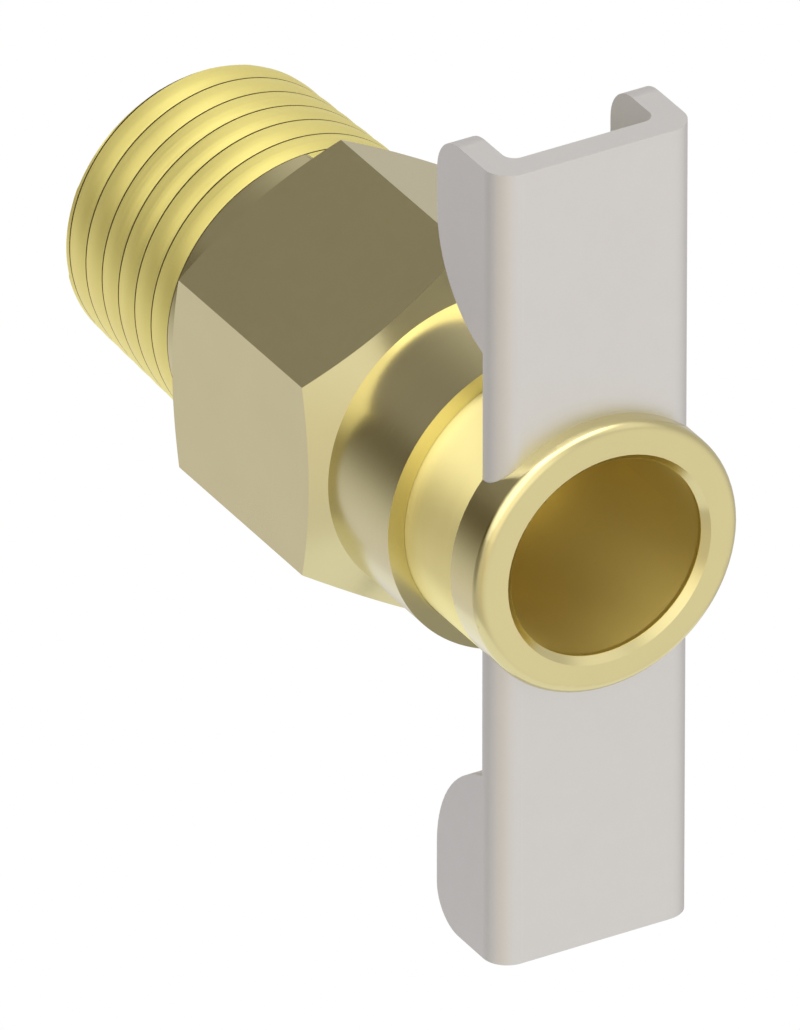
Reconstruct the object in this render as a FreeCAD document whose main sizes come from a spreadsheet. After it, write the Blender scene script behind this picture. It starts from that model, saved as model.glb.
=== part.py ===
import FreeCAD, Part
import math
import os
import re
import Sketcher

# Drain cock with a hollow turning stem, in millimetres.
# Every depth is measured from the outlet face, backwards to the inlet end. In the finished
# model the outlet faces -Y, the inlet end lies at Y = 0 and the handle stands along Z.

SIZES = (
    # Outlet and head collar
    ("outlet_bore_diameter", 8.75),
    ("outlet_chamfer", 0.3),
    ("barrel_diameter", 12.08),
    ("head_fillet", 0.5),
    ("head_thickness", 1.0),
    ("collar_lip", 0.5),
    ("collar_skirt_wall", 0.32),
    ("spigot_diameter", 10.0),
    # Pressed steel handle
    ("sheet_thickness", 1.2),
    ("handle_width", 9.14),
    ("handle_height", 36.35),
    ("flange_depth", 4.8),
    ("flange_start", 14.64),
    ("flange_end_round", 5.13),
    ("flange_corner_round", 1.7),
    ("outer_bend", 1.1),
    ("inner_bend", 0.55),
    # Outside of the body
    ("outlet_to_body", 5.84),
    ("neck_diameter", 13.6),
    ("neck_length", 4.77),
    ("hex_across_flats", 15.0),
    ("hex_length", 11.63),
    ("hex_chamfer_angle", 25.0),
    ("shank_length", 1.82),
    ("thread_length", 8.54),
    ("thread_end_diameter", 12.9),
    ("thread_taper", 0.0625),
    ("thread_end_chamfer", 0.15),
    # Inside of the body
    ("mouth_length", 6.06),
    ("stem_thread_bore_length", 5.6),
    ("chamber_diameter", 9.0),
    ("chamber_length", 7.3),
    ("seat_height", 0.4),
    ("seat_lip_width", 0.4),
    ("seat_slope", 0.2),
    ("inlet_bore_diameter", 5.5),
    # Stem
    ("barrel_insert", 5.66),
    ("outlet_bore_length", 10.6),
    ("stem_thread_diameter", 10.0),
    ("stem_thread_length", 5.0),
    ("nose_diameter", 8.0),
    ("nose_chamfer", 0.3),
    ("flow_bore_diameter", 5.8),
    ("flow_bore_floor", 0.7),
    ("flow_hole_diameter", 2.4),
    ("flow_hole_count", 4),
    ("pin_hole_depth", 2.0),
    # Seal ring and its groove
    ("seal_ring_section", 1.0),
    ("seal_groove_width", 1.4),
    ("seal_groove_inset", 1.0),
    # Jumper and seat washer
    ("jumper_diameter", 7.8),
    ("jumper_floor", 0.6),
    ("jumper_rim_height", 0.55),
    ("pin_diameter", 2.4),
    ("pin_length", 1.6),
    ("washer_diameter", 6.6),
    ("washer_thickness", 1.75),
    # Clearances on the radius
    ("running_clearance", 0.05),
    ("fit_clearance", 0.02),
)

# Sizes and depths that follow from the driving ones.
DERIVED = {
    "bore_radius": "outlet_bore_diameter / 2",
    "barrel_radius": "barrel_diameter / 2",
    "spigot_radius": "spigot_diameter / 2",
    "collar_pocket_radius": "barrel_radius - collar_skirt_wall",
    "mouth_radius": "barrel_radius + running_clearance",
    "nose_radius": "nose_diameter / 2",
    "washer_radius": "washer_diameter / 2",
    "pin_radius": "pin_diameter / 2",
    "thread_end_radius": "thread_end_diameter / 2",
    "thread_start_radius": "thread_end_radius + thread_length * thread_taper / 2",
    "hex_corner_radius": "hex_across_flats / sqrt(3)",
    "hex_chamfer_length": "(hex_corner_radius - neck_diameter / 2) * tan(hex_chamfer_angle)",
    "web_front": "head_thickness",
    "web_back": "web_front + sheet_thickness",
    "flange_back": "web_front + flange_depth",
    "neck_back": "outlet_to_body + neck_length",
    "hex_back": "neck_back + hex_length",
    "shank_back": "hex_back + shank_length",
    "inlet_end": "shank_back + thread_length",
    "mouth_floor": "outlet_to_body + mouth_length",
    "stem_thread_bore_end": "mouth_floor + stem_thread_bore_length",
    "chamber_floor": "stem_thread_bore_end + chamber_length",
    "seat_face": "chamber_floor - seat_height",
    "washer_front": "seat_face - washer_thickness",
    "jumper_front": "washer_front - jumper_floor",
    "nose_tip": "jumper_front - running_clearance",
    "barrel_end": "outlet_to_body + barrel_insert",
    "stem_thread_end": "barrel_end + stem_thread_length",
    "flow_bore_end": "nose_tip - pin_hole_depth - flow_bore_floor",
    "seal_groove_end": "barrel_end - seal_groove_inset",
    "seal_groove_start": "seal_groove_end - seal_groove_width",
    "seal_groove_radius": "mouth_radius - seal_ring_section - 2 * fit_clearance",
    "seal_ring_front": "(seal_groove_start + seal_groove_end - seal_ring_section) / 2",
    "seal_ring_back": "seal_ring_front + seal_ring_section",
    "handle_half_width": "handle_width / 2",
    "handle_half_height": "handle_height / 2",
    "flange_inside": "handle_half_width - sheet_thickness",
    # The flange's round end is an arc about this depth, and meets the web at this height.
    "flange_round_centre": "flange_back - flange_end_round",
    "flange_foot": "flange_start"
                   " - sqrt(flange_end_round ^ 2 - (web_back - flange_round_centre) ^ 2)",
}

SIZE_NAMES = [name for name, number in SIZES]
SAME_PLACE = 1e-6  # Coordinates closer than this are the same.


def cells(text):
    """Write an expression of size names as one that reads the spreadsheet."""
    def swap(match):
        word = match.group(0)
        if word in DERIVED:
            return "(" + cells(DERIVED[word]) + ")"
        return "Sizes." + word if word in SIZE_NAMES else word
    return re.sub(r"[a-z_]+", swap, str(text))


def fill_sheet(doc):
    """Put the driving sizes into a spreadsheet, one alias each."""
    sheet = doc.addObject("Spreadsheet::Sheet", "Sizes")
    for row, (name, number) in enumerate(SIZES, start=1):
        sheet.set(f"A{row}", name)
        sheet.set(f"B{row}", str(number))
        sheet.setAlias(f"B{row}", name)
    doc.recompute()
    return sheet


def value(thing, text):
    """The present value of an expression of size names."""
    return float(thing.evalExpression(cells(text)))


def bind(thing, **properties):
    """Tie an object's properties to expressions of size names."""
    for name, text in properties.items():
        thing.setExpression(name, cells(text))


def place_piece(thing):
    """Move a piece from depths behind the outlet face to its place in the whole part."""
    thing.setExpression("Placement.Base.y", "-" + cells("inlet_end"))


def new_piece(doc, label):
    """An empty PartDesign body for one piece."""
    piece = doc.addObject("PartDesign::Body", "Piece_" + label)
    piece.Label = label
    place_piece(piece)
    return piece


def new_sketch(piece, name, plane="XY_Plane"):
    """A sketch on one of the piece's own origin planes."""
    sketch = piece.newObject("Sketcher::SketchObject", name)
    support = next(item for item in piece.Origin.OriginFeatures if item.Role == plane)
    sketch.AttachmentSupport = (support, [""])
    sketch.MapMode = "FlatFace"
    sketch.Document.recompute()
    return sketch


def tie_distance(sketch, kind, name, element, end, text):
    """Tie one coordinate of an end point, keeping the constraint's number positive."""
    number = value(sketch, text)
    if abs(number) < SAME_PLACE:
        axis = -2 if kind == "DistanceX" else -1
        sketch.addConstraint(Sketcher.Constraint("PointOnObject", element, end, axis))
        return
    places = (-1, 1, element, end) if number > 0 else (element, end, -1, 1)
    index = sketch.addConstraint(Sketcher.Constraint(kind, *places, abs(number)))
    sketch.renameConstraint(index, name)
    signed = cells(text) if number > 0 else f"-({cells(text)})"
    sketch.setExpression("Constraints." + name, signed)


def arc_between(start, finish, radius, turn):
    """The shorter arc from start to finish: turn is 1 for anticlockwise, -1 for clockwise."""
    chord = finish - start
    sideways = FreeCAD.Vector(-chord.y, chord.x, 0).normalize()
    height = math.sqrt(max(radius ** 2 - (chord.Length / 2) ** 2, 0))
    centre = start + chord * 0.5 + sideways * height * turn
    first, last = (start, finish) if turn > 0 else (finish, start)
    angles = [math.atan2(point.y - centre.y, point.x - centre.x) for point in (first, last)]
    if angles[1] < angles[0]:
        angles[1] += 2 * math.pi
    return Part.ArcOfCircle(Part.Circle(centre, FreeCAD.Vector(0, 0, 1), radius), *angles)


def draw_outline(sketch, corners, prefix="c"):
    """Draw a closed outline through corners given as expressions (across, along).

    A corner with a radius and a turn as well starts an arc instead of a straight line.
    """
    points = [FreeCAD.Vector(value(sketch, corner[0]), value(sketch, corner[1]), 0)
              for corner in corners]
    elements = []
    for index, corner in enumerate(corners):
        start, finish = points[index], points[(index + 1) % len(points)]
        if len(corner) == 2:
            element = sketch.addGeometry(Part.LineSegment(start, finish), False)
            ends = (1, 2)
        else:
            radius, turn = value(sketch, corner[2]), corner[3]
            element = sketch.addGeometry(arc_between(start, finish, radius, turn), False)
            ends = (1, 2) if turn > 0 else (2, 1)
        elements.append((element, *ends))
    for index, (element, _, finish_end) in enumerate(elements):
        following, following_start, _ = elements[(index + 1) % len(elements)]
        sketch.addConstraint(Sketcher.Constraint(
            "Coincident", element, finish_end, following, following_start))
    for index, (element, start_end, _) in enumerate(elements):
        corner = corners[index]
        tie_distance(sketch, "DistanceX", f"{prefix}{index}_across", element, start_end, corner[0])
        tie_distance(sketch, "DistanceY", f"{prefix}{index}_along", element, start_end, corner[1])
        if len(corner) > 2:
            radius = sketch.addConstraint(Sketcher.Constraint(
                "Radius", element, value(sketch, corner[2])))
            sketch.renameConstraint(radius, f"{prefix}{index}_radius")
            sketch.setExpression(f"Constraints.{prefix}{index}_radius", cells(corner[2]))


def draw_circle(sketch, name, across, along, radius):
    """Draw a circle whose centre and radius are expressions."""
    centre = FreeCAD.Vector(value(sketch, across), value(sketch, along), 0)
    circle = Part.Circle(centre, FreeCAD.Vector(0, 0, 1), value(sketch, radius))
    element = sketch.addGeometry(circle, False)
    tie_distance(sketch, "DistanceX", name + "_across", element, 3, across)
    tie_distance(sketch, "DistanceY", name + "_along", element, 3, along)
    index = sketch.addConstraint(Sketcher.Constraint("Radius", element, value(sketch, radius)))
    sketch.renameConstraint(index, name + "_radius")
    sketch.setExpression(f"Constraints.{name}_radius", cells(radius))


def turn_profile(piece, name, corners, kind="PartDesign::Revolution"):
    """Turn a half section, given as (radius, depth) corners, about the part's axis."""
    sketch = new_sketch(piece, name + "_profile")
    draw_outline(sketch, corners)
    feature = piece.newObject(kind, name)
    feature.Profile = sketch
    feature.ReferenceAxis = (sketch, ["V_Axis"])
    feature.Angle = 360
    return feature


def cut_through(piece, name, sketch):
    """Cut a sketch's outline out of a piece, right through it both ways."""
    pocket = piece.newObject("PartDesign::Pocket", name)
    pocket.Profile = sketch
    pocket.Type = "ThroughAll"
    pocket.SideType = "Symmetric"
    return pocket


def make_valve_body(doc):
    """Body: neck, hexagon, shank and taper thread outside, stem room and seat inside.

    The thread is a plain cone over its crests.
    """
    piece = new_piece(doc, "valve_body")
    turn_profile(piece, "Turned_bar", (
        ("mouth_radius", "outlet_to_body"),
        ("neck_diameter / 2", "outlet_to_body"),
        ("neck_diameter / 2", "neck_back"),
        ("hex_corner_radius", "neck_back + hex_chamfer_length"),
        ("hex_corner_radius", "hex_back - hex_chamfer_length"),
        ("neck_diameter / 2", "hex_back"),
        ("thread_start_radius", "hex_back"),
        ("thread_start_radius", "shank_back"),
        ("thread_end_radius", "inlet_end - thread_end_chamfer"),
        ("thread_end_radius - thread_end_chamfer", "inlet_end"),
        ("inlet_bore_diameter / 2", "inlet_end"),
        ("inlet_bore_diameter / 2", "seat_face"),
        ("inlet_bore_diameter / 2 + seat_lip_width", "seat_face"),
        ("inlet_bore_diameter / 2 + seat_lip_width + seat_slope", "chamber_floor"),
        ("chamber_diameter / 2", "chamber_floor"),
        ("chamber_diameter / 2", "stem_thread_bore_end"),
        ("stem_thread_diameter / 2 + running_clearance", "stem_thread_bore_end"),
        ("stem_thread_diameter / 2 + running_clearance", "mouth_floor"),
        ("mouth_radius", "mouth_floor"),
    ))
    flats = new_sketch(piece, "Hexagon", "XZ_Plane")
    side = "hex_across_flats / 2"
    draw_outline(flats, (
        ("0", "hex_corner_radius"),
        (f"-{side}", "hex_corner_radius / 2"),
        (f"-{side}", "-hex_corner_radius / 2"),
        ("0", "-hex_corner_radius"),
        (side, "-hex_corner_radius / 2"),
        (side, "hex_corner_radius / 2"),
    ))
    draw_circle(flats, "bar", "0", "0", "hex_across_flats")
    cut_through(piece, "Flats", flats)
    return piece


def make_stem(doc):
    """Stem: spigot for handle and collar, barrel with its seal groove, thread and nose."""
    piece = new_piece(doc, "stem")
    turned = turn_profile(piece, "Turned_stem", (
        ("bore_radius", "collar_lip"),
        ("spigot_radius", "collar_lip"),
        ("spigot_radius", "web_back"),
        ("barrel_radius", "web_back"),
        ("barrel_radius", "seal_groove_start"),
        ("seal_groove_radius", "seal_groove_start"),
        ("seal_groove_radius", "seal_groove_end"),
        ("barrel_radius", "seal_groove_end"),
        ("barrel_radius", "barrel_end"),
        ("stem_thread_diameter / 2", "barrel_end"),
        ("stem_thread_diameter / 2", "stem_thread_end"),
        ("nose_radius", "stem_thread_end"),
        ("nose_radius", "nose_tip - nose_chamfer"),
        ("nose_radius - nose_chamfer", "nose_tip"),
        ("pin_radius + running_clearance", "nose_tip"),
        ("pin_radius + running_clearance", "nose_tip - pin_hole_depth"),
        ("0", "nose_tip - pin_hole_depth"),
        ("0", "flow_bore_end"),
        ("flow_bore_diameter / 2", "flow_bore_end"),
        ("flow_bore_diameter / 2", "outlet_bore_length"),
        ("bore_radius", "outlet_bore_length"),
    ))
    hole = new_sketch(piece, "Flow_hole_outline", "YZ_Plane")
    draw_circle(hole, "hole", "flow_bore_end - flow_hole_diameter / 2", "0",
                "flow_hole_diameter / 2")
    pocket = piece.newObject("PartDesign::Pocket", "Flow_hole")
    pocket.Profile = hole
    pocket.Type = "ThroughAll"
    doc.recompute()
    pattern = piece.newObject("PartDesign::PolarPattern", "Flow_holes")
    pattern.Originals = [pocket]
    pattern.Axis = (turned.Profile[0], ["V_Axis"])
    pattern.Angle = 360
    bind(pattern, Occurrences="flow_hole_count")
    piece.Tip = pattern
    return piece


def make_head_collar(doc):
    """Collar: rounded ring at the outlet, whose skirt holds the handle's eye on the spigot."""
    piece = new_piece(doc, "head_collar")
    turn_profile(piece, "Turned_ring", (
        ("bore_radius + outlet_chamfer", "0"),
        ("barrel_radius - head_fillet", "0", "head_fillet", 1),
        ("barrel_radius", "head_fillet"),
        ("barrel_radius", "web_back"),
        ("collar_pocket_radius", "web_back"),
        ("collar_pocket_radius", "web_front"),
        ("spigot_radius + fit_clearance", "web_front"),
        ("spigot_radius + fit_clearance", "collar_lip"),
        ("bore_radius", "collar_lip"),
        ("bore_radius", "outlet_chamfer"),
    ))
    windows = new_sketch(piece, "Wing_windows_outline")
    half = "(handle_half_width + fit_clearance)"
    draw_outline(windows, (
        (f"-({half} - outer_bend)", "web_front"),
        (f"{half} - outer_bend", "web_front", "outer_bend", 1),
        (half, "web_front + outer_bend"),
        (half, "web_back + sheet_thickness"),
        (f"-{half}", "web_back + sheet_thickness"),
        (f"-{half}", "web_front + outer_bend", "outer_bend", 1),
    ))
    cut_through(piece, "Wing_windows", windows)
    return piece


def make_tee_handle(doc):
    """Handle: flat web with two flanges at each end and a round eye in the middle."""
    piece = new_piece(doc, "tee_handle")
    section = new_sketch(piece, "Channel_section")
    draw_outline(section, (
        ("-(handle_half_width - outer_bend)", "web_front"),
        ("handle_half_width - outer_bend", "web_front", "outer_bend", 1),
        ("handle_half_width", "web_front + outer_bend"),
        ("handle_half_width", "flange_back"),
        ("flange_inside", "flange_back"),
        ("flange_inside", "web_back + inner_bend", "inner_bend", -1),
        ("flange_inside - inner_bend", "web_back"),
        ("-(flange_inside - inner_bend)", "web_back", "inner_bend", -1),
        ("-flange_inside", "web_back + inner_bend"),
        ("-flange_inside", "flange_back"),
        ("-handle_half_width", "flange_back"),
        ("-handle_half_width", "web_front + outer_bend", "outer_bend", 1),
    ))
    channel = piece.newObject("PartDesign::Pad", "Channel")
    channel.Profile = section
    channel.SideType = "Symmetric"
    bind(channel, Length="handle_height")

    waist = new_sketch(piece, "Waist_outline", "YZ_Plane")
    behind = "flange_back + flange_end_round"
    draw_outline(waist, (
        ("web_back", "-flange_foot"),
        ("web_back", "flange_foot", "flange_end_round", 1),
        ("flange_back", "flange_start"),
        (behind, "flange_start"),
        (behind, "-flange_start"),
        ("flange_back", "-flange_start", "flange_end_round", 1),
    ))
    cut_through(piece, "Waist", waist)
    round_flange_corners(piece)

    turn_profile(piece, "Eye", (
        ("0", "web_front"),
        ("collar_pocket_radius - fit_clearance", "web_front"),
        ("collar_pocket_radius - fit_clearance", "web_back"),
        ("0", "web_back"),
    ))
    turn_profile(piece, "Eye_hole", (
        ("0", "web_front - sheet_thickness"),
        ("spigot_radius + fit_clearance", "web_front - sheet_thickness"),
        ("spigot_radius + fit_clearance", "web_back + sheet_thickness"),
        ("0", "web_back + sheet_thickness"),
    ), kind="PartDesign::Groove")
    return piece


def round_flange_corners(piece):
    """Round the free corners at the ends of the four flanges."""
    piece.Document.recompute()
    channel = piece.Tip
    back, end = value(piece, "flange_back"), value(piece, "handle_half_height")
    names = []
    for number, edge in enumerate(channel.Shape.Edges, start=1):
        if all(abs(vertex.Point.y - back) < SAME_PLACE
               and abs(abs(vertex.Point.z) - end) < SAME_PLACE for vertex in edge.Vertexes):
            names.append(f"Edge{number}")
    corners = piece.newObject("PartDesign::Fillet", "Flange_corners")
    corners.Base = (channel, names)
    bind(corners, Radius="flange_corner_round")


def make_jumper(doc):
    """Jumper: cup for the seat washer, with the pin that hangs in the nose of the stem."""
    piece = new_piece(doc, "jumper")
    turn_profile(piece, "Turned_cup", (
        ("0", "jumper_front - pin_length"),
        ("pin_radius", "jumper_front - pin_length"),
        ("pin_radius", "jumper_front"),
        ("jumper_diameter / 2", "jumper_front"),
        ("jumper_diameter / 2", "washer_front + jumper_rim_height"),
        ("washer_radius + fit_clearance", "washer_front + jumper_rim_height"),
        ("washer_radius + fit_clearance", "washer_front"),
        ("0", "washer_front"),
    ))
    return piece


def make_seat_washer(doc):
    """Seat washer: plain nitrile disc between the cup's floor and the seat."""
    washer = doc.addObject("Part::Cylinder", "Seat_washer")
    washer.Label = "seat_washer"
    washer.Placement.Rotation = FreeCAD.Rotation(FreeCAD.Vector(1, 0, 0), -90)
    bind(washer, Radius="washer_radius", Height="washer_thickness")
    washer.setExpression("Placement.Base.y", cells("washer_front - inlet_end"))
    return washer


def make_stem_seal_ring(doc):
    """Square-cut seal ring in the barrel's groove, just clear of the body's mouth."""
    piece = new_piece(doc, "stem_seal_ring")
    turn_profile(piece, "Seal_section", (
        ("seal_groove_radius + fit_clearance", "seal_ring_front"),
        ("mouth_radius - fit_clearance", "seal_ring_front"),
        ("mouth_radius - fit_clearance", "seal_ring_back"),
        ("seal_groove_radius + fit_clearance", "seal_ring_back"),
    ))
    return piece


def check_document(doc, pieces):
    """Stop if any feature failed or a piece is not one valid solid."""
    for thing in doc.Objects:
        if "Invalid" in thing.State or "Error" in thing.State:
            raise RuntimeError(f"{thing.Label} failed: {thing.State}")
    for piece in pieces:
        shape = piece.Shape
        if shape.isNull() or not shape.isValid() or len(shape.Solids) != 1:
            raise RuntimeError(f"{piece.Label} is not one valid solid")


def main():
    doc = FreeCAD.newDocument("DrainCock")
    fill_sheet(doc)
    pieces = [
        make_valve_body(doc),
        make_stem(doc),
        make_head_collar(doc),
        make_tee_handle(doc),
        make_jumper(doc),
        make_seat_washer(doc),
        make_stem_seal_ring(doc),
    ]
    doc.recompute()
    check_document(doc, pieces)
    os.makedirs("parts", exist_ok=True)
    for piece in pieces:
        piece.Shape.exportStep(os.path.join("parts", piece.Label + ".step"))
        box = piece.Shape.BoundBox
        print(f"{piece.Label}: {piece.Shape.Volume:.1f} mm3,"
              f" X {box.XMin:.2f} to {box.XMax:.2f},"
              f" Y {box.YMin:.2f} to {box.YMax:.2f},"
              f" Z {box.ZMin:.2f} to {box.ZMax:.2f}")


main()
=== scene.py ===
"""Looks of the drain cock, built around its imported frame."""

import math

import bmesh
import bpy
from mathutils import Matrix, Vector


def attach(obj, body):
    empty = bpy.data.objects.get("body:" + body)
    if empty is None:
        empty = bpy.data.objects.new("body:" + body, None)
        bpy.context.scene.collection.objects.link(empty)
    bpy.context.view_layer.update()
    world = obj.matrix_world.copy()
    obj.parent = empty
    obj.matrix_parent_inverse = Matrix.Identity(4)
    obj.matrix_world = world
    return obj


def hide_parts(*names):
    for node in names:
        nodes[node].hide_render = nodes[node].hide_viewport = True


MM = 0.001

# The body's sizes in millimetres. Depths run from the outlet face back to the inlet end, as in
# the part's source.
INLET_END = 32.6
NECK_FRONT = 5.84
NECK_RADIUS = 6.8
MOUTH_RADIUS = 6.09
MOUTH_LIP_RADIUS = 6.05
MOUTH_LIP_BACK = 6.3
HEX_FRONT = 10.61
HEX_BACK = 22.24
HEX_FLAT = 7.5
HEX_CHAMFER = math.radians(25)
MOUTH_FLOOR = 11.9
STEM_THREAD_RADIUS = 5.05
STEM_THREAD_END = 17.5
CHAMBER_RADIUS = 4.5
CHAMBER_FLOOR = 24.8
SEAT_FACE = 24.4
SEAT_LIP_RADIUS = 3.15
SEAT_FOOT_RADIUS = 3.35
INLET_RADIUS = 2.75

# The outlet bore's wall lies within this radius. Its colour is painted shade at the mouth, turning
# to painted light that brightens the wall down to the bore's floor, against the shade deep in the
# bore.
BORE_EDGE = 4.39
BORE_FLOOR = 10.6
BORE_MOUTH_PAINTED_SHADE = (0.62, 0.50, 0.15)
BORE_DEEP_PAINTED_LIGHT = (0.96, 0.82, 0.33)
BORE_ROUGHNESS = 0.5

# Inlet thread
CREST_END_RADIUS = 6.45
CREST_TAPER = 0.0625 / 2
PITCH = 1.4
THREAD_START = 22.68
SHANK_RADIUS = 6.7
RIDGE_HEIGHT = 0.05
RIDGE_ROUND = 0.3
ROOT_SLOT = 0.2
END_CHAMFER = 0.15
THREAD_END = INLET_END - END_CHAMFER
THREAD_END_RADIUS = CREST_END_RADIUS - RIDGE_HEIGHT
# Places across one turn of the thread, from root to root, as shares of the pitch.
TURN_PLACES = (0, 0.03, 0.09, 0.16, 0.26, 0.38, 0.5, 0.62, 0.74, 0.84, 0.92, 0.97)
COLUMNS = 288
# The ROOT slot holds a dark brass: painted shade in the thread's roots.
TURNED, THREADED, ROOT = range(3)  # Material slots of the body
SHARP_ANGLE = math.radians(24)
WELD = 1e-7  # Corners nearer than this, in metres, are one

# Surfaces. Lines and grains are per metre, a relief is its strength and its height in
# millimetres, a spread is the share by which roughness varies, and a shade is a tint's darkest.
TURNING_LINES = 6000.0
TURNING_RELIEF = (0.03, 0.01)
BRASS_GRAIN = 260.0
BRASS_SHADE = 0.97
BRASS_SPREAD = 0.08
STEEL_TINT_GRAIN = 900.0
STEEL_FINE_GRAIN = 9000.0
STEEL_RELIEF = (0.05, 0.01)
STEEL_SHADE = 0.985
STEEL_SPREAD = 0.05
RUBBER_GRAIN = 3000.0
RUBBER_RELIEF = (0.2, 0.03)
RUBBER_DARK = (0.018, 0.018, 0.019)
RUBBER_LIGHT = (0.03, 0.03, 0.031)
RUBBER_ROUGHNESS = 0.6
NOISE_LOW, NOISE_HIGH = 0.3, 0.7  # Most of a noise texture's values lie between these

# Studio. Lengths are in metres.
PART_MIDDLE = (0, -0.016, 0)
FLOOR_RADIUS = 0.08
FLOOR_DROP = 0.08
SOFT_LIGHT = (0.6, 0.61, 0.64)
TENT_RADIUS = 1.2
TENT_LEVEL = (0.62, 0.60, 0.59)
# The tent's soft lights over its even level, each with its direction from the part, the angle at
# which it fades out in degrees, and its colour. A flag takes light away.
OVERHEAD = ((0, 0, 1), 40, (2.05, 2.02, 1.96))
LEFT_SHOULDER = ((-0.75, 0, 0.65), 45, (1.3, 1.27, 1.23))
FRONT_UPPER_LEFT = ((-0.5, -0.7, 0.5), 45, (0.75, 0.72, 0.62))
FRONT_UPPER_RIGHT = ((0.5, -0.3, 0.8), 35, (0.45, 0.44, 0.43))
FRONT_FILL = ((0.4, -0.8, -0.3), 75, (0.34, 0.33, 0.31))
FRONT_LEFT_WARMTH = ((-0.8, -0.65, -0.2), 45, (0.15, 0.10, 0.0))
LOW_BACK = ((-0.15, 0.75, -0.65), 35, (0.20, 0.19, 0.24))
BACK_LEFT_FLAG = ((-0.45, 0.75, 0.45), 50, (-0.36, -0.36, -0.37))
LEFT_FLAG = ((-0.9, 0.4, 0), 35, (-0.35, -0.35, -0.38))
TENT_LIGHTS = (OVERHEAD, LEFT_SHOULDER, FRONT_UPPER_LEFT, FRONT_UPPER_RIGHT, FRONT_FILL,
               FRONT_LEFT_WARMTH, LOW_BACK, BACK_LEFT_FLAG, LEFT_FLAG)

# Camera: its angles in degrees, the point in millimetres that it looks at, and its lens
CAMERA_AZIMUTH = -30.047
CAMERA_ELEVATION = 30.362
CAMERA_TARGET = (-6.666, -27.482, 1.448)
CAMERA_DISTANCE = 1477.9
CAMERA_LENS = 1300
CAMERA_SENSOR = 36
CAMERA_CLIP = (0.1, 20)

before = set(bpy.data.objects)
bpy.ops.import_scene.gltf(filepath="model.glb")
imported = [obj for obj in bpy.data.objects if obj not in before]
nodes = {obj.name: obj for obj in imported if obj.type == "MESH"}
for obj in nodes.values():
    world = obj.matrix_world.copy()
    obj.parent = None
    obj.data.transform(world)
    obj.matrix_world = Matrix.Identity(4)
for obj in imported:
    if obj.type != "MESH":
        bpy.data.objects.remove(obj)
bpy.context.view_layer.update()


# Body

def crest_radius(depth):
    """Radius of the taper over the thread's crests."""
    return CREST_END_RADIUS + (INLET_END - depth) * CREST_TAPER


def ridge_fall(place):
    """How far the surface lies below the crests, at a place across one turn of the thread."""
    across = 2 * place - 1
    fall = RIDGE_HEIGHT * ((math.hypot(across, RIDGE_ROUND) - RIDGE_ROUND)
                           / (math.hypot(1, RIDGE_ROUND) - RIDGE_ROUND))
    return fall if place else fall + ROOT_SLOT


def hex_radius(angle):
    """Distance of the hexagon's outline from the axis."""
    past_corner = angle % math.radians(60)
    return HEX_FLAT / math.cos(past_corner - math.radians(30))


def chamfer_run(angle):
    """How far behind its face the hexagon's chamfer meets the flats."""
    return (hex_radius(angle) - NECK_RADIUS) * math.tan(HEX_CHAMFER)


def plain(radius, depth):
    """A round ring."""
    return lambda angle: (radius, depth)


def shank_end(angle):
    """The shank's ring along the helix on which the thread begins."""
    return SHANK_RADIUS, THREAD_START + PITCH * (angle / (2 * math.pi) - TURN_PLACES[1])


def thread_row(number, place):
    """A ring that follows the thread's helix as far as the thread's end, and stays there."""
    def ring(angle):
        depth = THREAD_START + PITCH * (number + place + angle / (2 * math.pi))
        if depth > THREAD_END:
            return THREAD_END_RADIUS, THREAD_END
        return crest_radius(depth) - ridge_fall(place), depth
    return ring


def body_rings():
    """The rings round the body's section: outside from neck to inlet, then back inside.

    Also gives the numbers of the first and last rings that follow the thread's helix.
    """
    rings = [
        plain(MOUTH_RADIUS, MOUTH_LIP_BACK),
        plain(MOUTH_LIP_RADIUS, MOUTH_LIP_BACK),
        plain(MOUTH_LIP_RADIUS, NECK_FRONT),
        plain(NECK_RADIUS, NECK_FRONT),
        plain(NECK_RADIUS, HEX_FRONT),
        lambda angle: (hex_radius(angle), HEX_FRONT + chamfer_run(angle)),
        lambda angle: (hex_radius(angle), HEX_BACK - chamfer_run(angle)),
        plain(NECK_RADIUS, HEX_BACK),
        plain(SHANK_RADIUS, HEX_BACK),
        shank_end,
    ]
    shank_end_row = len(rings) - 1
    for number in range(math.ceil((INLET_END - THREAD_START) / PITCH) + 1):
        rings += [thread_row(number, place) for place in TURN_PLACES]
    last_row = len(rings) - 1
    rings += [
        plain(THREAD_END_RADIUS - END_CHAMFER, INLET_END),
        plain(INLET_RADIUS, INLET_END),
        plain(INLET_RADIUS, SEAT_FACE),
        plain(SEAT_LIP_RADIUS, SEAT_FACE),
        plain(SEAT_FOOT_RADIUS, CHAMBER_FLOOR),
        plain(CHAMBER_RADIUS, CHAMBER_FLOOR),
        plain(CHAMBER_RADIUS, STEM_THREAD_END),
        plain(STEM_THREAD_RADIUS, STEM_THREAD_END),
        plain(STEM_THREAD_RADIUS, MOUTH_FLOOR),
        plain(MOUTH_RADIUS, MOUTH_FLOOR),
    ]
    return rings, shank_end_row, last_row


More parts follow.
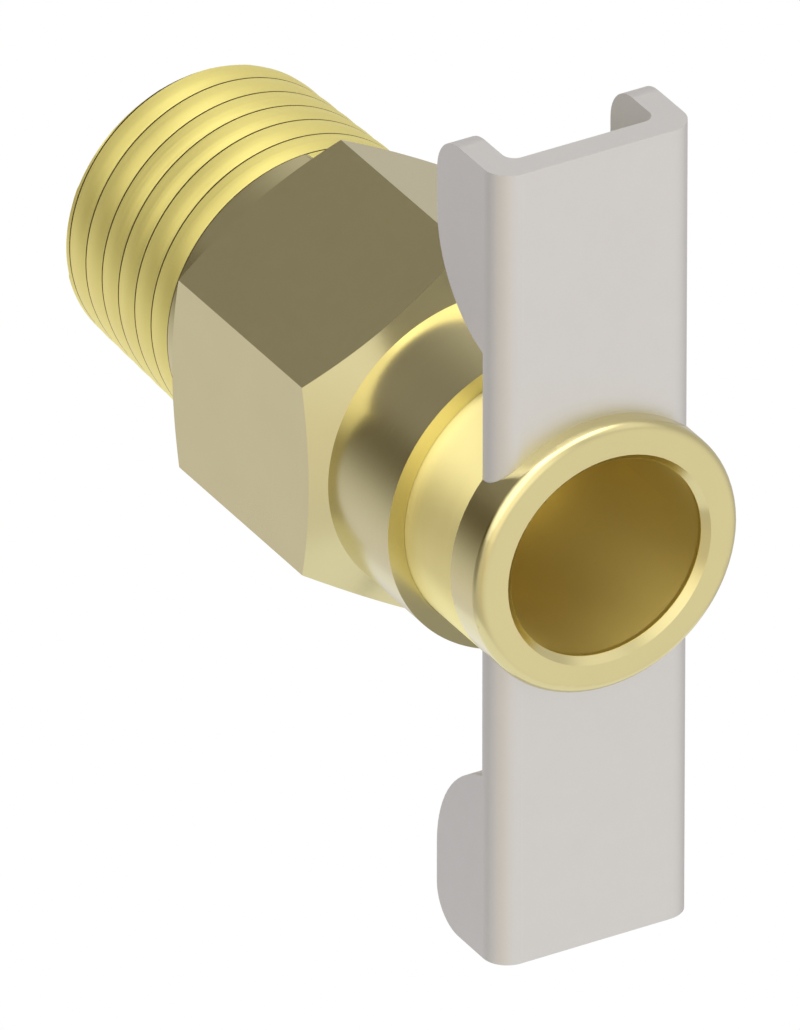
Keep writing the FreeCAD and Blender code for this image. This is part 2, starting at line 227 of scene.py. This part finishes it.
def make_body(turned, threaded, root):
    """The turned body with its thread, as one closed skin of rings."""
    mesh = bmesh.new()
    rings, shank_end_row, last_row = body_rings()
    rows = []
    for ring in rings:
        row = []
        for column in range(COLUMNS):
            angle = 2 * math.pi * column / COLUMNS
            radius, depth = ring(angle)
            place = Vector((radius * math.sin(angle), depth - INLET_END,
                            radius * math.cos(angle)))
            row.append(mesh.verts.new(place * MM))
        rows.append(row)

    turn = len(TURN_PLACES)

    def once_round(index):
        """The ring that a ring meets once round: on the helix, the one a pitch further on."""
        if shank_end_row <= index <= last_row:
            index = min(index + turn, last_row)
        return rows[index % len(rows)][0]

    for index, row in enumerate(rows):
        following = rows[(index + 1) % len(rows)]
        brass_kind = TURNED
        if shank_end_row <= index <= last_row:
            # Faces beside the thread's roots take the dark brass of painted shade.
            painted_root_shade = (index - shank_end_row) % turn < 2
            brass_kind = ROOT if painted_root_shade else THREADED
        for column in range(COLUMNS - 1):
            face = mesh.faces.new((row[column], row[column + 1],
                                   following[column + 1], following[column]))
            face.material_index = brass_kind
        # The shank's last face takes in the whole start of the first ridge.
        beyond = [once_round(index), once_round(index + 1)]
        if index == shank_end_row - 1:
            beyond = [rows[number][0] for number in range(index, shank_end_row + turn + 1)]
        corners = (row[-1], *beyond, following[-1])
        face = mesh.faces.new(tuple(dict.fromkeys(corners)))
        face.material_index = brass_kind
    bmesh.ops.remove_doubles(mesh, verts=mesh.verts, dist=WELD)
    bmesh.ops.dissolve_degenerate(mesh, edges=mesh.edges, dist=WELD)
    bmesh.ops.recalc_face_normals(mesh, faces=mesh.faces)
    data = bpy.data.meshes.new("threaded_body")
    mesh.to_mesh(data)
    mesh.free()
    for face in data.polygons:
        face.use_smooth = True
    data.set_sharp_from_angle(angle=SHARP_ANGLE)
    body = bpy.data.objects.new("threaded_body", data)
    bpy.context.scene.collection.objects.link(body)
    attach(body, "cock_body")
    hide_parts("valve_body")
    for material in (turned, threaded, root):
        data.materials.append(material)


# Materials

def new_material(name):
    """A material with an empty node tree but for its shader."""
    material = bpy.data.materials.new(name)
    material.use_nodes = True
    tree = material.node_tree
    shader = tree.nodes["Principled BSDF"]
    return material, tree, shader


def add(tree, kind, **settings):
    """A node with its settings; keys that start with in_ set an input's value."""
    node = tree.nodes.new(kind)
    for key, value in settings.items():
        if key.startswith("in_"):
            name = key[3:]
            node.inputs[int(name) if name.isdigit() else name].default_value = value
        else:
            setattr(node, key, value)
    return node


def from_axis(tree):
    """Where a point lies: its distance from the axis and its place along it, in metres."""
    place = add(tree, "ShaderNodeTexCoord")
    split = add(tree, "ShaderNodeSeparateXYZ")
    tree.links.new(place.outputs["Object"], split.inputs[0])
    across = add(tree, "ShaderNodeCombineXYZ")
    tree.links.new(split.outputs["X"], across.inputs["X"])
    tree.links.new(split.outputs["Z"], across.inputs["Z"])
    radius = add(tree, "ShaderNodeVectorMath", operation="LENGTH")
    tree.links.new(across.outputs[0], radius.inputs[0])
    return radius.outputs["Value"], split.outputs["Y"]


def turned_lines(tree, per_metre):
    """Noise that is the same all round the axis, so it reads as turning marks."""
    radius, length = from_axis(tree)
    both = add(tree, "ShaderNodeCombineXYZ")
    tree.links.new(radius, both.inputs["X"])
    tree.links.new(length, both.inputs["Y"])
    lines = add(tree, "ShaderNodeTexNoise", in_Scale=per_metre, in_Detail=3.0,
                in_Roughness=0.6)
    tree.links.new(both.outputs[0], lines.inputs["Vector"])
    return lines


def grain(tree, scale):
    """Plain fine noise through the solid."""
    place = add(tree, "ShaderNodeTexCoord")
    noise = add(tree, "ShaderNodeTexNoise", in_Scale=scale, in_Detail=4.0, in_Roughness=0.55)
    tree.links.new(place.outputs["Object"], noise.inputs["Vector"])
    return noise


def spread(tree, source, low, high):
    """Map a noise output to a narrow range."""
    node = add(tree, "ShaderNodeMapRange")
    node.inputs["From Min"].default_value = NOISE_LOW
    node.inputs["From Max"].default_value = NOISE_HIGH
    node.inputs["To Min"].default_value = low
    node.inputs["To Max"].default_value = high
    tree.links.new(source, node.inputs["Value"])
    return node.outputs["Result"]


def shaded(tree, noise, colour, shade):
    """A colour that noise darkens in places by a given share."""
    tint = add(tree, "ShaderNodeMix", data_type="RGBA")
    tint.inputs[6].default_value = (*[shade * part for part in colour], 1)
    tint.inputs[7].default_value = (*colour, 1)
    tree.links.new(spread(tree, noise.outputs["Fac"], 0, 1), tint.inputs[0])
    return tint.outputs[2]


def rough_about(tree, noise, roughness, share):
    """A roughness that noise varies by a given share, up and down."""
    return spread(tree, noise.outputs["Fac"], roughness * (1 - share), roughness * (1 + share))


def add_relief(tree, shader, noise, strength, height):
    """Fine relief on the surface from noise; its height is in millimetres."""
    relief = add(tree, "ShaderNodeBump", in_Strength=strength, in_Distance=height * MM)
    tree.links.new(noise.outputs["Fac"], relief.inputs["Height"])
    tree.links.new(relief.outputs["Normal"], shader.inputs["Normal"])


def bore_wall_painted_light(tree, surface, rough):
    """Colour and roughness that within the bore's radius are those of its wall, with painted shade
    at the mouth and painted light towards the floor.
    """
    radius, length = from_axis(tree)
    inside = add(tree, "ShaderNodeMath", operation="LESS_THAN", in_1=BORE_EDGE * MM)
    tree.links.new(radius, inside.inputs[0])
    depth = add(tree, "ShaderNodeMapRange")
    depth.inputs["From Min"].default_value = -INLET_END * MM
    depth.inputs["From Max"].default_value = (BORE_FLOOR - INLET_END) * MM
    tree.links.new(length, depth.inputs["Value"])
    # Painted shade at the bore's mouth, fading into painted light towards the bore's floor.
    wall = add(tree, "ShaderNodeMix", data_type="RGBA")
    wall.inputs[6].default_value = (*BORE_MOUTH_PAINTED_SHADE, 1)
    wall.inputs[7].default_value = (*BORE_DEEP_PAINTED_LIGHT, 1)
    tree.links.new(depth.outputs["Result"], wall.inputs[0])
    tinted = add(tree, "ShaderNodeMix", data_type="RGBA")
    tree.links.new(inside.outputs[0], tinted.inputs[0])
    tree.links.new(surface, tinted.inputs[6])
    tree.links.new(wall.outputs[2], tinted.inputs[7])
    finish = add(tree, "ShaderNodeMix", data_type="FLOAT", in_3=BORE_ROUGHNESS)
    tree.links.new(inside.outputs[0], finish.inputs[0])
    tree.links.new(rough, finish.inputs[2])
    return tinted.outputs[2], finish.outputs[0]


def brass(name, colour, roughness, anisotropic=0.0, has_bore=False):
    """Turned brass: clean metal with faint turning marks and, for some, the bore's wall with
    painted shade at its mouth and painted light towards its floor.
    """
    material, tree, shader = new_material(name)
    shader.inputs["Metallic"].default_value = 1.0
    lines = turned_lines(tree, TURNING_LINES)
    surface = shaded(tree, grain(tree, BRASS_GRAIN), colour, BRASS_SHADE)
    rough = rough_about(tree, lines, roughness, BRASS_SPREAD)
    if has_bore:
        surface, rough = bore_wall_painted_light(tree, surface, rough)
    tree.links.new(surface, shader.inputs["Base Color"])
    tree.links.new(rough, shader.inputs["Roughness"])
    add_relief(tree, shader, lines, *TURNING_RELIEF)
    if anisotropic:
        shader.inputs["Anisotropic"].default_value = anisotropic
        lengthwise = add(tree, "ShaderNodeCombineXYZ", in_X=0.0, in_Y=1.0, in_Z=0.0)
        tree.links.new(lengthwise.outputs[0], shader.inputs["Tangent"])
    return material


def steel(name, colour, roughness):
    """Satin plated steel sheet with a very fine grain."""
    material, tree, shader = new_material(name)
    shader.inputs["Metallic"].default_value = 1.0
    surface = shaded(tree, grain(tree, STEEL_TINT_GRAIN), colour, STEEL_SHADE)
    tree.links.new(surface, shader.inputs["Base Color"])
    fine = grain(tree, STEEL_FINE_GRAIN)
    rough = rough_about(tree, fine, roughness, STEEL_SPREAD)
    tree.links.new(rough, shader.inputs["Roughness"])
    add_relief(tree, shader, fine, *STEEL_RELIEF)
    return material


def rubber(name):
    """Black nitrile with a dull moulded skin."""
    material, tree, shader = new_material(name)
    skin = grain(tree, RUBBER_GRAIN)
    tint = add(tree, "ShaderNodeMix", data_type="RGBA")
    tint.inputs[6].default_value = (*RUBBER_DARK, 1)
    tint.inputs[7].default_value = (*RUBBER_LIGHT, 1)
    tree.links.new(skin.outputs["Fac"], tint.inputs[0])
    tree.links.new(tint.outputs[2], shader.inputs["Base Color"])
    shader.inputs["Roughness"].default_value = RUBBER_ROUGHNESS
    add_relief(tree, shader, skin, *RUBBER_RELIEF)
    return material


def dress(thing, material):
    """Give every slot of a piece the same material."""
    if not thing.material_slots:
        thing.data.materials.append(material)
    for slot in thing.material_slots:
        slot.material = material


# Studio

def make_floor():
    """A small pale floor, well below the part; to the camera it is as white as the backdrop."""
    mesh = bmesh.new()
    bmesh.ops.create_circle(mesh, cap_ends=True, segments=96, radius=FLOOR_RADIUS)
    data = bpy.data.meshes.new("floor")
    mesh.to_mesh(data)
    mesh.free()
    floor = bpy.data.objects.new("floor", data)
    floor.location = Vector(PART_MIDDLE) - Vector((0, 0, FLOOR_DROP))
    bpy.context.scene.collection.objects.link(floor)
    material, tree, shader = new_material("pale_floor")
    shader.inputs["Base Color"].default_value = (0.8, 0.8, 0.8, 1)
    shader.inputs["Roughness"].default_value = 1.0
    white = add(tree, "ShaderNodeEmission", in_Color=(1, 1, 1, 1), in_Strength=1.0)
    mix = add(tree, "ShaderNodeMixShader")
    tree.links.new(sees_backdrop(tree), mix.inputs[0])
    tree.links.new(shader.outputs[0], mix.inputs[1])
    tree.links.new(white.outputs[0], mix.inputs[2])
    tree.links.new(mix.outputs[0], tree.nodes["Material Output"].inputs["Surface"])
    dress(floor, material)


def along(tree, direction, source):
    """Cosine of the angle between a ray's direction and a given one."""
    dot = add(tree, "ShaderNodeVectorMath", operation="DOT_PRODUCT")
    dot.inputs[1].default_value = Vector(direction).normalized()
    tree.links.new(source, dot.inputs[0])
    return dot.outputs["Value"]


def soft_light(tree, ray, direction, edge, colour):
    """The glow of a soft round light, full at its middle and fading out towards its edge."""
    part = add(tree, "ShaderNodeMapRange", interpolation_type="SMOOTHSTEP")
    part.inputs["From Min"].default_value = math.cos(math.radians(edge))
    part.inputs["From Max"].default_value = 1.0
    tree.links.new(along(tree, direction, ray), part.inputs["Value"])
    glow = add(tree, "ShaderNodeVectorMath", operation="SCALE")
    glow.inputs[0].default_value = colour
    tree.links.new(part.outputs["Result"], glow.inputs["Scale"])
    return glow.outputs[0]


def make_tent():
    """A light tent with soft lights in it, round the part: what its metal mirrors."""
    mesh = bmesh.new()
    bmesh.ops.create_icosphere(mesh, subdivisions=4, radius=TENT_RADIUS)
    bmesh.ops.reverse_faces(mesh, faces=mesh.faces)
    data = bpy.data.meshes.new("tent")
    mesh.to_mesh(data)
    mesh.free()
    tent = bpy.data.objects.new("tent", data)
    tent.location = PART_MIDDLE
    bpy.context.scene.collection.objects.link(tent)
    tent.visible_camera = False
    tent.visible_diffuse = False
    tent.visible_transmission = False
    tent.visible_shadow = False
    material, tree, shader = new_material("tent_cloth")
    tree.nodes.remove(shader)
    place = add(tree, "ShaderNodeTexCoord").outputs["Object"]
    unit = add(tree, "ShaderNodeVectorMath", operation="NORMALIZE")
    tree.links.new(place, unit.inputs[0])
    level = None
    for light in TENT_LIGHTS:
        both = add(tree, "ShaderNodeVectorMath", operation="ADD")
        if level is None:
            both.inputs[0].default_value = TENT_LEVEL
        else:
            tree.links.new(level, both.inputs[0])
        tree.links.new(soft_light(tree, unit.outputs[0], *light), both.inputs[1])
        level = both.outputs[0]
    glow = add(tree, "ShaderNodeEmission", in_Strength=1.0)
    tree.links.new(level, glow.inputs["Color"])
    tree.links.new(glow.outputs[0], tree.nodes["Material Output"].inputs["Surface"])
    dress(tent, material)


def make_world():
    """A white backdrop to the camera and to what mirrors or lets through; else soft light."""
    world = bpy.data.worlds.new("studio")
    bpy.context.scene.world = world
    world.use_nodes = True
    tree = world.node_tree
    tree.nodes.clear()
    studio = add(tree, "ShaderNodeBackground", in_Color=(*SOFT_LIGHT, 1), in_Strength=1.0)
    white = add(tree, "ShaderNodeBackground", in_Color=(1, 1, 1, 1), in_Strength=1.0)
    mix = add(tree, "ShaderNodeMixShader")
    tree.links.new(sees_backdrop(tree), mix.inputs[0])
    tree.links.new(studio.outputs[0], mix.inputs[1])
    tree.links.new(white.outputs[0], mix.inputs[2])
    output = add(tree, "ShaderNodeOutputWorld")
    tree.links.new(mix.outputs[0], output.inputs["Surface"])


def sees_backdrop(tree):
    """1 for camera, glossy and transmission rays, 0 for the rest."""
    path = add(tree, "ShaderNodeLightPath")
    seen = path.outputs["Is Camera Ray"]
    for kind in ("Is Glossy Ray", "Is Transmission Ray"):
        either = add(tree, "ShaderNodeMath", operation="MAXIMUM")
        tree.links.new(seen, either.inputs[0])
        tree.links.new(path.outputs[kind], either.inputs[1])
        seen = either.outputs[0]
    return seen


def make_camera():
    """A far camera at the photograph's angle, with the photograph's frame."""
    azimuth, elevation = math.radians(CAMERA_AZIMUTH), math.radians(CAMERA_ELEVATION)
    back = Vector((math.sin(azimuth) * math.cos(elevation),
                   -math.cos(azimuth) * math.cos(elevation), math.sin(elevation)))
    data = bpy.data.cameras.new("photo_camera")
    data.sensor_width = CAMERA_SENSOR
    data.sensor_fit = "AUTO"
    data.lens = CAMERA_LENS
    data.clip_start, data.clip_end = CAMERA_CLIP
    camera = bpy.data.objects.new("photo_camera", data)
    camera.location = (Vector(CAMERA_TARGET) + back * CAMERA_DISTANCE) * MM
    camera.rotation_euler = back.to_track_quat("Z", "Y").to_euler()
    bpy.context.scene.collection.objects.link(camera)
    bpy.context.scene.camera = camera


make_camera()
make_world()
make_tent()
make_floor()

# The third brass is dark: painted shade in the thread's root slots.
make_body(brass("brass_body", (0.68, 0.62, 0.35), 0.22),
          brass("brass_thread", (0.98, 0.88, 0.30), 0.42, anisotropic=0.5),
          brass("brass_root_painted_shade", (0.3, 0.24, 0.12), 0.5))
# The stem's and collar's brass carry the bore's painted shade at the mouth and painted light deep
# down.
dress(nodes["stem"], brass("brass_stem", (0.97, 0.88, 0.43), 0.5, anisotropic=0.8,
                           has_bore=True))
dress(nodes["head_collar"], brass("brass_collar", (0.70, 0.63, 0.33), 0.18,
                                  has_bore=True))
dress(nodes["jumper"], brass("brass_jumper", (0.70, 0.63, 0.33), 0.3))
dress(nodes["tee_handle"], steel("plated_steel", (0.70, 0.69, 0.68), 0.45))
nitrile = rubber("nitrile")
dress(nodes["seat_washer"], nitrile)
dress(nodes["stem_seal_ring"], nitrile)

bpy.context.scene.view_settings.view_transform = "Standard"
